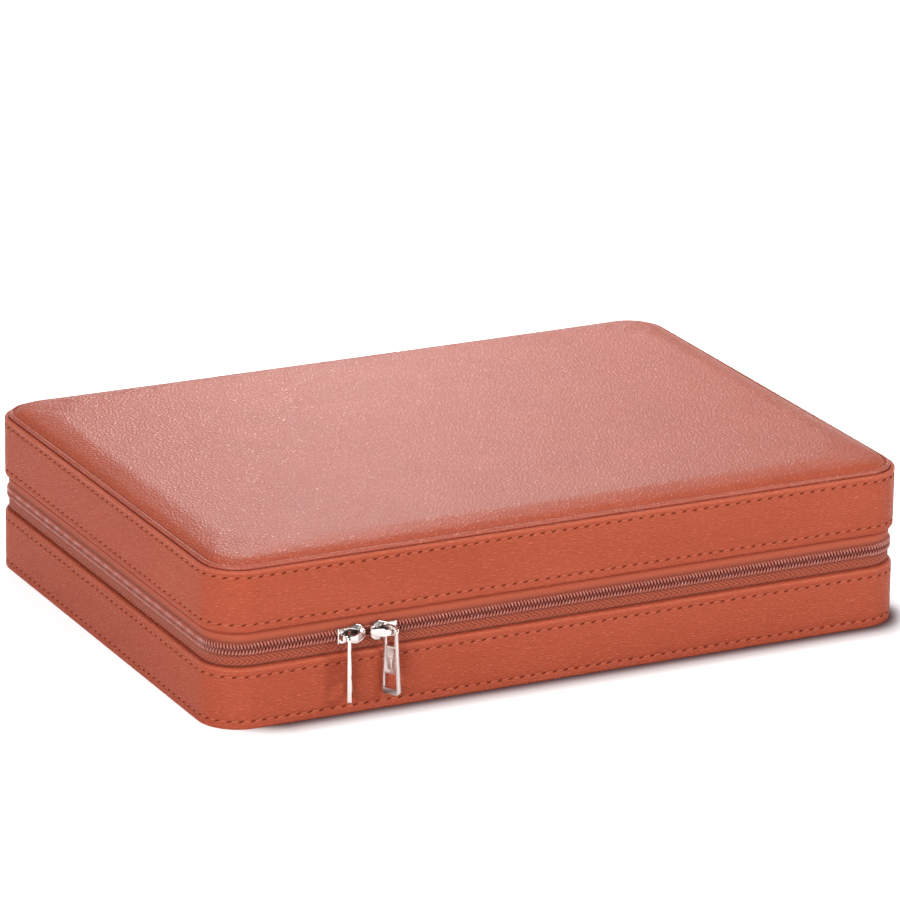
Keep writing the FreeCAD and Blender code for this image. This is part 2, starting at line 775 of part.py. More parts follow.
def ring_roll(number):
    """A soft roll: narrow at the foot, fuller above and round on top, lying between the cross dividers."""
    body = new_body(f"ring_roll_{number}")
    start = f"-divider_cross_x + {half_thick} + roll_end_gap"
    sketch = new_sketch(body, "section", "YZ_Plane", start)
    middle = f"(divider_long_y + {half_thick} + roll_pitch * {number - 0.5})"
    shoulder = "(tray_foot + roll_height - roll_width / 2)"
    crown = add_arc(sketch, middle, shoulder, "roll_width / 2", 0, 180)
    lines = add_lines(sketch, [
        (f"{middle} - roll_width / 2", shoulder),
        (f"{middle} - roll_foot_half_width", "tray_foot"),
        (f"{middle} + roll_foot_half_width", "tray_foot"),
        (f"{middle} + roll_width / 2", shoulder),
    ])
    close_with_arc(sketch, crown, lines)
    bind(sketch, Sketcher.Constraint("Radius", crown, size("roll_width / 2")), "roll_width / 2")
    bind(sketch, Sketcher.Constraint("DistanceY", crown, 3, size(shoulder)), shoulder)
    pad(body, sketch, f"2 * divider_cross_x - 2 * ({half_thick}) - 2 * roll_end_gap")
    ends = (size(start), -size(start))
    bevel(body, "roll_end_bevel", lambda edge: edge.Curve.TypeId == "Part::GeomCircle"
          and any(abs(edge.Vertexes[0].Point.x - end) < NEAR for end in ends))


for number in range(1, ROLL_COUNT + 1):
    ring_roll(number)

doc.recompute()
failed = [item.Name for item in doc.Objects if {"Invalid", "Error"} & set(item.State)]
bodies = [item for item in doc.Objects if item.TypeId == "PartDesign::Body"]
failed += [body.Label for body in bodies if body.Shape.isNull() or not body.Shape.isValid()]
failed += [body.Label for body in bodies if len(body.Shape.Solids) != 1]
if failed:
    raise RuntimeError(f"not built: {failed}")

os.makedirs("parts", exist_ok=True)
for body in bodies:
    body.Shape.exportStep(f"parts/{body.Label}.step")
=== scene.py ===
import math

import bmesh
import bpy
from mathutils import Matrix, Vector
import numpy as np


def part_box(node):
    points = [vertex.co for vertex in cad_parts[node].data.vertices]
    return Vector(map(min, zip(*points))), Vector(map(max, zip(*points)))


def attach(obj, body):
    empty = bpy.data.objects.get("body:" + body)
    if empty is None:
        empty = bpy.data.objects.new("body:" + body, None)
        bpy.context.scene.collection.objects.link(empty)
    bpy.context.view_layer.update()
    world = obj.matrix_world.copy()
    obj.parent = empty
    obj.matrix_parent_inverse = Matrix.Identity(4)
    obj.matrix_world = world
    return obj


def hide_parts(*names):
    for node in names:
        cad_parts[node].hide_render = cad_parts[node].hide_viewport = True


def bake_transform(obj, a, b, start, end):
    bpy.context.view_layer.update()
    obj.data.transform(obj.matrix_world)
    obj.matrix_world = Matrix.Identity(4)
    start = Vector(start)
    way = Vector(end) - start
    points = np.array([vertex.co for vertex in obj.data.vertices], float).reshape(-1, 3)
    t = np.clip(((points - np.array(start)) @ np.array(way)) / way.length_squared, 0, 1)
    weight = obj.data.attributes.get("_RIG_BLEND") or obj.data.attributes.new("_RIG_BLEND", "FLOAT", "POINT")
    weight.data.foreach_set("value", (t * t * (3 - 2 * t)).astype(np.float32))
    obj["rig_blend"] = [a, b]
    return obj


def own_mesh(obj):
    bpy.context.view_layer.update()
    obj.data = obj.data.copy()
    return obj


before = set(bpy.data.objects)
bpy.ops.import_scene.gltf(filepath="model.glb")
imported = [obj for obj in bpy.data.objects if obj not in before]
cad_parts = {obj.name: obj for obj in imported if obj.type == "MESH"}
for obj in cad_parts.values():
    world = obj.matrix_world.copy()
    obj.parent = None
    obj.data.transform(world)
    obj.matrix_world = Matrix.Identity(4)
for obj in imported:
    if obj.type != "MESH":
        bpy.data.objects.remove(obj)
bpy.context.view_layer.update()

# Boards. Grey bookbinder's board, cut and glued into a shallow tray and a lid that the leather is drawn over.
# Nothing of it shows on the finished case.
MM = 0.001


class Value:
    """A socket in a material's node tree; arithmetic on values adds Math nodes."""

    def __init__(self, tree, socket=None):
        self.tree = tree
        self.socket = socket

    def node(self, kind, settings=(), sockets=(), output=0):
        """Adds a node, sets its settings and then its sockets, and gives one of its outputs."""
        node = self.tree.nodes.new("ShaderNode" + kind)
        for name, setting in dict(settings).items():
            setattr(node, name, setting)
        for name, value in dict(sockets).items():
            if isinstance(value, Value):
                self.tree.links.new(value.socket, node.inputs[name])
            else:
                node.inputs[name].default_value = value
        return Value(self.tree, node.outputs[output])

    def math(self, operation, *terms):
        return self.node("Math", {"operation": operation}, enumerate(terms))

    def __add__(self, other):
        return self.math("ADD", self, other)

    def __sub__(self, other):
        return self.math("SUBTRACT", self, other)

    def __rsub__(self, other):
        return self.math("SUBTRACT", other, self)

    def __mul__(self, other):
        return self.math("MULTIPLY", self, other)

    __radd__ = __add__
    __rmul__ = __mul__

    def ramp(self, low, high, start=0.0, end=1.0):
        """Rises smoothly from start to end as this value goes from low to high."""
        settings = {"interpolation_type": "SMOOTHSTEP"}
        return self.node("MapRange", settings, {0: self, 1: low, 2: high, 3: start, 4: end})

    def tint(self, dark, light):
        """A colour between two, with this value as the share of the second."""
        colours = {0: self, 6: (*dark, 1), 7: (*light, 1)}
        return self.node("Mix", {"data_type": "RGBA", "clamp_factor": False}, colours, 2)

    def scaled(self, *factors):
        """A vector with each part multiplied."""
        return self.node("VectorMath", {"operation": "MULTIPLY"}, {0: self, 1: factors})

    def noise(self, scale, detail=2.0, output=0):
        """Cloudy noise at this place."""
        return self.node("TexNoise", (), {"Vector": self, "Scale": scale, "Detail": detail}, output)

    def bump(self, depth):
        """The normal of a surface that this value raises by up to a depth in metres."""
        return self.node("Bump", (), {"Height": self, "Distance": depth, "Strength": 1.0})


def new_finish(name, **fixed):
    """A material with its fixed sockets set, and the start of its nodes."""
    material = bpy.data.materials.new(name)
    material.use_nodes = True
    feed(material, **fixed)
    return material, Value(material.node_tree)


def feed(material, **sockets):
    """Sets or links sockets of a material's surface shader, named with underscores for spaces."""
    shader = material.node_tree.nodes["Principled BSDF"]
    for name, value in sockets.items():
        socket = shader.inputs[name.replace("_", " ")]
        if isinstance(value, Value):
            material.node_tree.links.new(value.socket, socket)
        else:
            socket.default_value = value


def dress(material, *nodes):
    """Gives pieces of the frame their finish."""
    for node in nodes:
        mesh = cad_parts[node].data
        mesh.materials.clear()
        mesh.materials.append(material)


board, start = new_finish("grey_board", Roughness=0.9)
place = start.node("TexCoord", output="Object")
fibre = place.scaled(1, 0.3, 1).noise(900, 4)
feed(board, Base_Color=fibre.tint((0.2, 0.18, 0.16), (0.42, 0.39, 0.35)), Normal=fibre.bump(0.1 * MM))
dress(board, "base_floor_board", "base_wall_board", "lid_wall_board", "lid_top_board")

# Leather bands. One strip of embossed artificial leather is drawn round the base and one round the lid,
# turned in over the boards at both edges and sewn down with a row of stitches along each edge.
CORNER = 20 * MM
HALF_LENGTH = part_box("base_side_leather")[1].x
HALF_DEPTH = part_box("base_side_leather")[1].y
STRAIGHT_X = HALF_LENGTH - CORNER
STRAIGHT_Y = HALF_DEPTH - CORNER
QUARTER = CORNER * math.pi / 2
AROUND = 4 * (STRAIGHT_X + STRAIGHT_Y + QUARTER)
NEAR = 1e-6


def wrap_case(bm, profile, stride, gap=0.0, closed=True):
    """Sweeps a profile of (inset, height) points round the case, from the back past the left side and the
    front, and leaves a gap of twice the given half-width in the back."""
    across = bm.verts.layers.float.new("across")
    chain = [bm.verts.new((-gap, HALF_DEPTH - inset, height)) for inset, height in profile]
    for vertex, previous in zip(chain[1:], chain):
        vertex[across] = previous[across] + (vertex.co - previous.co).length
    edges = [bm.edges.new(pair) for pair in zip(chain, chain[1:] + (chain[:1] if closed else []))]
    runs = (
        (STRAIGHT_X - gap, (-1, 0), (-1, 1)),
        (2 * STRAIGHT_Y, (0, -1), (-1, -1)),
        (2 * STRAIGHT_X, (1, 0), (1, -1)),
        (2 * STRAIGHT_Y, (0, 1), (1, 1)),
        (STRAIGHT_X - gap, (-1, 0), None),
    )
    for length, way, corner in runs:
        edges = swing(bm, edges, 1, dvec=Vector((*way, 0)) * length, cent=(0, 0, 0), angle=0.0)
        if corner:
            centre = (corner[0] * STRAIGHT_X, corner[1] * STRAIGHT_Y, 0)
            steps = max(8, round(QUARTER / stride))
            edges = swing(bm, edges, steps, dvec=(0, 0, 0), cent=centre, angle=math.pi / 2)
    for length in {run[0] for run in runs}:
        straights = [edge for edge in bm.edges if abs(edge.calc_length() - length) < NEAR]
        cuts = round(length / stride) - 1
        bmesh.ops.subdivide_edges(bm, edges=straights, cuts=max(0, cuts), use_grid_fill=True)
    if gap:
        for end in (-gap, gap):
            rim = [edge for edge in bm.edges if edge.is_boundary
                   and all(abs(v.co.x - end) < NEAR and v.co.y > 0 for v in edge.verts)]
            bmesh.ops.contextual_create(bm, geom=rim)
    bmesh.ops.remove_doubles(bm, verts=bm.verts, dist=NEAR)
    bmesh.ops.recalc_face_normals(bm, faces=bm.faces)


def swing(bm, edges, steps, **turn):
    """Draws edges along or round in steps, and gives the last ones."""
    drawn = bmesh.ops.spin(bm, geom=edges, axis=(0, 0, 1), steps=steps, **turn)
    return [item for item in drawn["geom_last"] if isinstance(item, bmesh.types.BMEdge)]


def beside_case(point):
    """How far round the case a point lies from the middle of the back, and which way is out there."""
    x = min(max(point.x, -STRAIGHT_X), STRAIGHT_X)
    y = min(max(point.y, -STRAIGHT_Y), STRAIGHT_Y)
    out = Vector((point.x - x, point.y - y, 0)).normalized()
    turned = (math.atan2(out.y, out.x) / (math.pi / 2) - 1) % 4
    if turned > 4 - NEAR:
        turned = 0.0
    if turned < NEAR and x > 0:
        turned = 4.0
    passed = (
        -x,
        STRAIGHT_X + STRAIGHT_Y - y,
        2 * STRAIGHT_X + 2 * STRAIGHT_Y + x,
        3 * STRAIGHT_X + 3 * STRAIGHT_Y + y,
        4 * STRAIGHT_X + 4 * STRAIGHT_Y - x,
    )
    return passed[int(turned + NEAR)] + turned * QUARTER, out


def stand_on_case(run, inset, height):
    """A frame at a place round the case: X along the run, Y inwards and Z up."""
    place = Vector((0, HALF_DEPTH, height))
    heading = math.pi
    for length in (STRAIGHT_X, 2 * STRAIGHT_Y, 2 * STRAIGHT_X, 2 * STRAIGHT_Y, STRAIGHT_X):
        ahead = Vector((math.cos(heading), math.sin(heading), 0))
        place += ahead * min(run, length)
        run -= length
        if run <= 0:
            break
        turn = min(run, QUARTER) / CORNER
        arm = Vector((-ahead.y, ahead.x, 0)) * CORNER
        place += arm - Matrix.Rotation(turn, 3, "Z") @ arm
        heading += turn
        run -= QUARTER
        if run <= 0:
            break
    inwards = Vector((-math.sin(heading), math.cos(heading), 0))
    return Matrix.Translation(place + inwards * inset) @ Matrix.Rotation(heading, 4, "Z")


def unroll(bm):
    """Lays a wrapped piece out flat in its UV map: along the run, and across the profile, in centimetres."""
    layer = bm.loops.layers.uv.new("run")
    across = bm.verts.layers.float["across"]
    for face in bm.faces:
        middle = beside_case(face.calc_center_median())[0]
        for loop in face.loops:
            run = beside_case(loop.vert.co)[0]
            run += AROUND * round((middle - run) / AROUND)
            loop[layer].uv = (run / (10 * MM), loop.vert[across] / (10 * MM))


def new_piece(name, bm, material, body, slot, *replaced):
    """Makes a bmesh an object that rides on a body and stands for pieces of the frame."""
    mesh = bpy.data.meshes.new(name)
    bm.to_mesh(mesh)
    bm.free()
    mesh.materials.append(material)
    mesh.polygons.foreach_set("use_smooth", [True] * len(mesh.polygons))
    mesh.set_sharp_from_angle(angle=math.radians(40))
    made = bpy.data.objects.new(name, mesh)
    bpy.context.scene.collection.objects.link(made)
    if body:
        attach(made, body)
    if replaced:
        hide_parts(*replaced)
    return made


def arc(centre, radius, start, end, steps):
    """Points of a rounded edge in a profile, between two angles in degrees."""
    angles = [math.radians(start + (end - start) * step / steps) for step in range(steps + 1)]
    return [(centre[0] + radius * math.cos(a), centre[1] + radius * math.sin(a)) for a in angles]


# Reach of the painted highlight along the bands' rolled edges.
HIGHLIGHT_REACH = 1.2 * MM
TERRACOTTA = (0.57, 0.124, 0.066)
TERRACOTTA_DEEP = (0.43, 0.08, 0.039)


def leather(name, coordinates, grain, stretch, depth, polish=0.0, edges=(), flatter=None, gap=None, **fixed):
    """A dyed film on cloth, embossed with a grain of a size in metres that is drawn out along the first
    axis. It may be polished, given a painted highlight along rolled edges at some heights, pressed
    flatter one way, and darkened below the gap height by painted shade in a crease."""
    material, start = new_finish(name, **fixed)
    spot = start.node("TexCoord", output="Object")
    height = start.node("SeparateXYZ", (), {0: spot}, "Z")
    # Paler and glossier near each edge height: a painted highlight on the rolled edges.
    painted_edge_highlight = sum(height.math("ABSOLUTE", height - edge).ramp(0, HIGHLIGHT_REACH, 1.0, 0.0) for edge in edges)
    place = start.node("TexCoord", output=coordinates)
    unit = 10 * MM if coordinates == "UV" else 1.0
    place = place.scaled(unit / grain / stretch, unit / grain, unit / grain)
    drift = place.noise(0.9, 1.0, "Color")
    drift = drift.node("VectorMath", {"operation": "MULTIPLY_ADD"}, {0: drift, 1: (0.9,) * 3, 2: place})
    pebble = drift.node("TexVoronoi", {"feature": "DISTANCE_TO_EDGE"}, {"Vector": drift, "Scale": 1.0})
    pebble = pebble.ramp(0.0, 0.42)
    fine = place.noise(3.0, 3.0)
    cloud = place.noise(0.05, 2.0)
    relief = pebble * 0.8 + fine * 0.25
    if flatter:
        way = spot.node("VectorMath", {"operation": "DOT_PRODUCT"}, {0: spot, 1: flatter}, "Value")
        relief *= way.ramp(-1.0, 0.6, 1.0, 0.6)
    # Random grain tone, plus the painted edge highlight.
    shade = (pebble * 0.4 + cloud * 0.4 + fine * 0.35).ramp(0.25, 0.95) + painted_edge_highlight * 0.9
    # Painted shade: below the gap height the colour darkens, as shade in the crease by the rim.
    if gap:
        shade -= height.ramp(gap - 0.8 * MM, gap, 1.1, 0.0)
    feed(
        material,
        Base_Color=shade.tint(TERRACOTTA_DEEP, TERRACOTTA),
        Roughness=0.5 - polish - pebble * 0.16 + fine * 0.08 - painted_edge_highlight * 0.15,
        Normal=relief.bump(depth),
    )
    return material


BASE_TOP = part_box("base_side_leather")[1].z
LID_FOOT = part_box("lid_side_leather")[0].z
RIM_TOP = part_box("lid_side_leather")[1].z
# Heights of the base's top roll and the lid's rim, where the band leather gets a painted highlight.
EDGES = (BASE_TOP - 0.8 * MM, RIM_TOP - 0.5 * MM)
band_leather = leather("band_leather", "UV", 1.0 * MM, 3.6, 0.3 * MM, edges=EDGES, Specular_IOR_Level=0.09)
STITCH_COUNT = round(AROUND / (5.7 * MM))
STITCH_PITCH = AROUND / STITCH_COUNT
STITCH_LENGTH = 4.3 * MM
GROOVE_HALF = 1.0 * MM
GROOVE_DEPTH = 0.3 * MM
PIT_DEPTH = 0.25 * MM


def press_stitches(bm, rows):
    """Presses the groove of each stitch row into a band's face, deeper under each stitch."""
    for vertex in bm.verts:
        run, out = beside_case(vertex.co)
        for height, phase in rows:
            off = abs(vertex.co.z - height) / GROOVE_HALF
            if off < 1 and is_face(vertex.co):
                along = abs((run / STITCH_PITCH - phase) % 1 - 0.5) * 2
                under = min(1, max(0, (0.8 - along) / 0.25))
                fall = 0.5 + 0.5 * math.cos(math.pi * off)
                vertex.co -= out * fall * (GROOVE_DEPTH + PIT_DEPTH * under)


def is_face(point):
    """Whether a point lies on a band's outer face."""
    x = max(abs(point.x) - STRAIGHT_X, 0)
    y = max(abs(point.y) - STRAIGHT_Y, 0)
    return math.hypot(x, y) > CORNER - 1 * MM


def face_rows(low, high, stitch_rows):
    """Heights of a band's face from low to high, close together over the stitch rows."""
    heights = {low + (high - low) * step / 8 for step in range(9)}
    for row, _ in stitch_rows:
        heights = {h for h in heights if abs(h - row) > 1.3 * GROOVE_HALF or h in (low, high)}
        heights |= {row + GROOVE_HALF * step / 3 for step in range(-3, 4)}
    return [(0.0, h) for h in sorted(heights) if low <= h <= high]


def band(name, profile, rows, body, node):
    """A leather band: its profile swept round the case and its stitch rows pressed in."""
    bm = bmesh.new()
    wrap_case(bm, profile, STITCH_PITCH / 6)
    press_stitches(bm, rows)
    unroll(bm)
    return new_piece(name, bm, band_leather, body, "leather", node)


LEATHER = 1.2 * MM
ROLL = 2.0 * MM
FOOT_ROLL = 0.8 * MM
MOUTH = 3.2 * MM
HEM = 8.0 * MM
RIM_WIDTH = 2.0 * MM
RIM_ROLL = 0.9 * MM
RIM_INNER_ROLL = 0.5 * MM
RIM_STAND = 4.0 * MM

base_rows = [(3.9 * MM, 0.2), (25.3 * MM, 0.65)]
base_profile = (
    [(HEM, LEATHER), (HEM, 0)]
    + arc((FOOT_ROLL, FOOT_ROLL), FOOT_ROLL, 270, 180, 5)
    + face_rows(FOOT_ROLL + 0.3 * MM, BASE_TOP - ROLL - 0.3 * MM, base_rows)
    + arc((ROLL, BASE_TOP - ROLL), ROLL, 180, 90, 6)
    + [(MOUTH, BASE_TOP), (MOUTH, BASE_TOP - LEATHER), (LEATHER, BASE_TOP - LEATHER), (LEATHER, LEATHER)]
)
band("base_band", base_profile, base_rows, "base", "base_side_leather")

lid_rows = [(50.4 * MM, 0.4), (72.9 * MM, 0.85)]
lid_profile = (
    [(MOUTH, LID_FOOT + LEATHER), (MOUTH, LID_FOOT)]
    + arc((ROLL, LID_FOOT + ROLL), ROLL, 270, 180, 6)
    + face_rows(LID_FOOT + ROLL + 0.3 * MM, RIM_TOP - RIM_ROLL - 0.3 * MM, lid_rows)
    + arc((RIM_ROLL, RIM_TOP - RIM_ROLL), RIM_ROLL, 180, 90, 4)
    + arc((RIM_WIDTH - RIM_INNER_ROLL, RIM_TOP - RIM_INNER_ROLL), RIM_INNER_ROLL, 90, 0, 3)
    + [(RIM_WIDTH, RIM_TOP - RIM_STAND), (LEATHER, RIM_TOP - RIM_STAND), (LEATHER, LID_FOOT + LEATHER)]
)
band("lid_band", lid_profile, lid_rows, "lid", "lid_side_leather")

# Stitches. Rust-coloured polyester thread sewn through the leather by machine: each stitch dips into the
# holes at its two ends, which it shares with its neighbours.
thread, start = new_finish("thread", Roughness=0.5, Specular_IOR_Level=0.3)
twist = start.node("TexCoord", output="Object").noise(2500, 2.0)
feed(thread, Base_Color=twist.tint((0.4, 0.085, 0.04), (0.66, 0.165, 0.085)), Normal=twist.bump(0.1 * MM))
# Each needle hole is marked by a small dark grain under the face: painted shade inside the hole.
hole_shade, start = new_finish("needle_hole_shade", Roughness=1.0, Specular_IOR_Level=0.1)
depths = start.node("TexCoord", output="Object").noise(1500, 2.0)
feed(hole_shade, Base_Color=depths.tint((0.1, 0.014, 0.007), (0.2, 0.032, 0.014)))


def rice_grain(length, width, thickness, dip):
    """A small mesh like a grain of rice along X, whose ends dip along Y."""
    bm = bmesh.new()
    bmesh.ops.create_uvsphere(bm, u_segments=6, v_segments=6, radius=1.0)
    bmesh.ops.rotate(bm, verts=bm.verts, matrix=Matrix.Rotation(math.pi / 2, 3, "Y"))
    for vertex in bm.verts:
        vertex.co.y = vertex.co.y * thickness / 2 + dip * vertex.co.x ** 4
        vertex.co.x *= length / 2
        vertex.co.z *= width / 2
    mesh = bpy.data.meshes.new("grain")
    bm.to_mesh(mesh)
    bm.free()
    return mesh


def stamp(bm, shape, place):
    """Adds a copy of a small mesh at a place."""
    shape.transform(place)
    bm.from_mesh(shape)
    shape.transform(place.inverted())


def sew(name, rows, body):
    """The stitches of a band's rows, and dark grains of painted shade in the holes between them."""
    stitch = rice_grain(STITCH_LENGTH, 0.9 * MM, 0.85 * MM, 0.5 * MM)
    hole_shade_grain = rice_grain(2.4 * MM, 0.85 * MM, 0.3 * MM, 0.0)
    for part, shape, shift, depth, slant, material in (
        ("stitches", stitch, 0.5, GROOVE_DEPTH + 0.15 * MM, -5, thread),
        ("holes", hole_shade_grain, 0.0, GROOVE_DEPTH - 0.08 * MM, -20, hole_shade),
    ):
        tilt = Matrix.Rotation(math.radians(slant), 4, "Y")
        bm = bmesh.new()
        for height, phase in rows:
            for number in range(STITCH_COUNT):
                run = (number + phase + shift) % STITCH_COUNT * STITCH_PITCH
                stamp(bm, shape, stand_on_case(run, depth, height) @ tilt)
        new_piece(f"{name}_{part}", bm, material, body, "leather")
    for shape in (stitch, hole_shade_grain):
        bpy.data.meshes.remove(shape)


sew("base", base_rows, "base")
sew("lid", lid_rows, "lid")

# Underside. A plain panel of the same artificial leather, cut to fit inside the base band's turned hem and
# glued flat under the floor board.
under_leather = leather("under_leather", "Object", 1.4 * MM, 1.0, 0.06 * MM, Specular_IOR_Level=0.3)
dress(under_leather, "base_bottom_leather")

# Zip tapes. Two narrow polyester tapes woven in a herringbone, glued into the rebates behind the leather.
# Their facing edges carry the zip.
TAPE_IN = 3.4 * MM
TAPE_EDGE_IN = 1.9 * MM
TAPE_SWELL_IN = 1.8 * MM
TAPE_THICKNESS = 0.6 * MM
CM = 10 * MM
WEAVE_PITCH = 2.77 * MM
WEAVE_FOLD = 5.8 * MM
WEAVE_LEAN = 1.73
ZIP_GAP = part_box("back_hinge_leather")[1].x + 0.2 * MM
ZIP_HEIGHT = (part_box("zip_coil_lower")[1].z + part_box("zip_coil_upper")[0].z) / 2
TAPE_APART = 0.05 * MM
TAPE_SHOULDER = 2.6 * MM
TAPE_SWELL = 1.3 * MM

tape_weave, start = new_finish("herringbone_tape", Roughness=0.75, Sheen_Weight=0.1, Sheen_Roughness=0.4)
flat = start.node("TexCoord", output="UV")
along = flat.node("SeparateXYZ", (), {0: flat}, "X")
across = flat.node("SeparateXYZ", (), {0: flat}, "Y")
fold = across.math("PINGPONG", across, WEAVE_FOLD / CM)
yarn = (along - fold * WEAVE_LEAN) * (2 * math.pi * CM / WEAVE_PITCH)
ridge = yarn.math("SINE", yarn) * 0.5 + 0.5
height = start.node("SeparateXYZ", (), {0: start.node("TexCoord", output="Object")}, "Z")
ridge = 1 - (1 - ridge) * height.ramp(ZIP_HEIGHT, ZIP_HEIGHT + TAPE_SHOULDER, 1.0, 0.4)
fluff = flat.scaled(30, 60, 1).noise(1.0, 3.0)
# Painted shade: the weave is darker within a few millimetres of the coil, beside it.
lit_below = height.ramp(ZIP_HEIGHT - 4.2 * MM, ZIP_HEIGHT - 3.0 * MM, 0.6, 0.0)
lit_above = height.ramp(ZIP_HEIGHT + 2.7 * MM, ZIP_HEIGHT + 5.2 * MM, 0.0, 0.6)
tape_lit_share = lit_below + lit_above + 0.4
weave = (ridge * 0.75 + fluff * 0.35).ramp(0.0, 0.6) * tape_lit_share
feed(
    tape_weave,
    Base_Color=weave.tint((0.11, 0.016, 0.007), (0.45, 0.084, 0.036)),
    Normal=(ridge + fluff * 0.3).bump(0.3 * MM),
)


def tape(name, edge, shoulder, swell, mouth, foot, body, node):
    """One tape, from one end of the hinge round the front to the other: it swells out of the rebate's mouth,
    and its edge lies behind the coil."""
    profile = [
        (TAPE_EDGE_IN, edge),
        (TAPE_EDGE_IN, shoulder),
        (TAPE_SWELL_IN, swell),
        (TAPE_IN, mouth),
        (TAPE_IN, foot),
    ]
    profile += [(inset + TAPE_THICKNESS, height) for inset, height in reversed(profile)]
    bm = bmesh.new()
    wrap_case(bm, profile, 4 * MM, ZIP_GAP)
    unroll(bm)
    new_piece(name, bm, tape_weave, body, "zip_tape", node)


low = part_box("zip_tape_lower")[0].z
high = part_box("zip_tape_upper")[1].z
halves = (("lower", -1, BASE_TOP, low, "base"), ("upper", 1, LID_FOOT, high, "lid"))
for name, way, mouth, foot, body in halves:
    edge = ZIP_HEIGHT + way * TAPE_APART
    shoulder = ZIP_HEIGHT + way * TAPE_SHOULDER
    tape(f"{name}_tape", edge, shoulder, mouth - way * TAPE_SWELL, mouth, foot, body, f"zip_tape_{name}")

# Zip coils. One long nylon filament wound into a flat coil along each tape, the turns of one between the
# turns of the other. Between the two sliders they lie parted, and the stretches that a slider runs over part
# as it goes.
COIL_PITCH = 1.69 * MM
COIL_WIRE = 0.45 * MM
COIL_FRONT = 0.7 * MM
COIL_BACK = 2.9 * MM
COIL_OUTER = 2.85 * MM
COIL_INNER = -0.35 * MM
PARTED = 1.7 * MM
COIL_POINTS = 8
PART_MIDDLE = (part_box("slider_left")[0].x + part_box("slider_right")[1].x) / 2
PART_WIDE = 5.0 * MM
PART_END = 10.0 * MM

nylon, start = new_finish("nylon", Roughness=0.3)
grain = start.node("TexCoord", output="Object").noise(700, 2.0)
height = start.node("SeparateXYZ", (), {0: start.node("TexCoord", output="Object")}, "Z")
# Painted shade: the coil is darker towards the middle, where its two halves meet and dip back.
lit_outwards = height.math("ABSOLUTE", height - ZIP_HEIGHT).ramp(0.4 * MM, 1.6 * MM)
feed(
    nylon,
    Base_Color=(lit_outwards + grain * 0.2).tint((0.3, 0.075, 0.055), (0.52, 0.16, 0.115)),
    Roughness=grain.ramp(0, 1, 0.22, 0.38),
)


def coil(name, side, first, last, body, node):
    """A stretch of one coil, wound along the tape's edge from one of its points to another."""
    curve = bpy.data.curves.new(name, "CURVE")
    curve.dimensions = "3D"
    curve.bevel_depth = COIL_WIRE
    curve.bevel_resolution = 1
    curve.use_fill_caps = True
    spline = curve.splines.new("POLY")
    spline.points.add(last - first)
    lead = math.pi * (side < 0)
    for number, point in enumerate(spline.points, first):
        turn = number / COIL_POINTS
        angle = 2 * math.pi * turn + lead
        run = ZIP_GAP + turn * COIL_PITCH
        middle = stand_on_case(run, 0, 0).translation
        part = 0.0
        if middle.y < 0:
            part = min(1, max(0, (PART_END - abs(middle.x - PART_MIDDLE)) / (PART_END - PART_WIDE)))
        inner = COIL_INNER + (PARTED - COIL_INNER) * part
        reach = (COIL_OUTER - inner) / 2 - COIL_WIRE
        height = (COIL_OUTER + inner) / 2 - reach * math.sin(angle)
        inset = (COIL_FRONT + COIL_BACK) / 2 - ((COIL_BACK - COIL_FRONT) / 2 - COIL_WIRE) * math.cos(angle)
        place = stand_on_case(run, inset, ZIP_HEIGHT + side * height).translation
        point.co = (*place, 1)
    wound = bpy.data.objects.new(name, curve)
    mesh = bpy.data.meshes.new_from_object(wound)
    bpy.data.objects.remove(wound)
    bpy.data.curves.remove(curve)
    bm = bmesh.new()
    bm.from_mesh(mesh)
    bpy.data.meshes.remove(mesh)
    return new_piece(name, bm, nylon, body, "zip_coil", node)


LEFT_RUN = 40 * MM
RIGHT_RUN = 248 * MM
stops = (
    PART_MIDDLE - PART_END - LEFT_RUN,
    PART_MIDDLE - PART_WIDE,
    PART_MIDDLE + PART_WIDE,
    PART_MIDDLE + PART_END + RIGHT_RUN,
)
stops = [beside_case(Vector((x, -HALF_DEPTH, 0)))[0] for x in stops]
stops = [int((stop - ZIP_GAP) / COIL_PITCH * COIL_POINTS) for stop in (ZIP_GAP, *stops, AROUND - ZIP_GAP)]
for which, side, body in (("lower", -1, "base"), ("upper", 1, "lid")):
    stretches = ("left_end", "left_run", "parted", "right_run", "right_end")
    for stretch, first, last in zip(stretches, stops, stops[1:]):
        wound = coil(f"{which}_coil_{stretch}", side, first, last, body, f"zip_coil_{which}")
        if stretch.endswith("run"):
            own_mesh(wound)

# Hinge strip. The back of the lid hangs on a strip of the same leather, which fills the gap in the zip and is
# glued in behind both bands. It has no pin: the strip itself folds as the lid opens.
STRIP_ROWS = 24
low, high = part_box("back_hinge_leather")
bm = bmesh.new()
bmesh.ops.create_cube(bm, size=1.0)
bmesh.ops.scale(bm, verts=bm.verts, vec=high - low)
bmesh.ops.translate(bm, verts=bm.verts, vec=(low + high) / 2)
for row in range(1, STRIP_ROWS):
    level = low + (high - low) * row / STRIP_ROWS
    whole = bm.verts[:] + bm.edges[:] + bm.faces[:]
    bmesh.ops.bisect_plane(bm, geom=whole, plane_co=level, plane_no=(0, 0, 1))
strip = new_piece("hinge_strip", bm, under_leather, None, "leather", "back_hinge_leather")
middle = (low.y + high.y) / 2
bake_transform(strip, "base", "lid", (0, middle, BASE_TOP), (0, middle, LID_FOOT))

# Lid top. Leather drawn over foam and a board and sunk behind the lid's raised rim; the board's edge shows
# as a thin roll all round, and inside it the foam swells the leather into a low cushion.
pad_leather = leather(
    "pad_leather", "Object", 2.0 * MM, 1.0, 0.2 * MM, 0.1, flatter=(3.0, 4.0, 0.0), Specular_IOR_Level=0.25
)
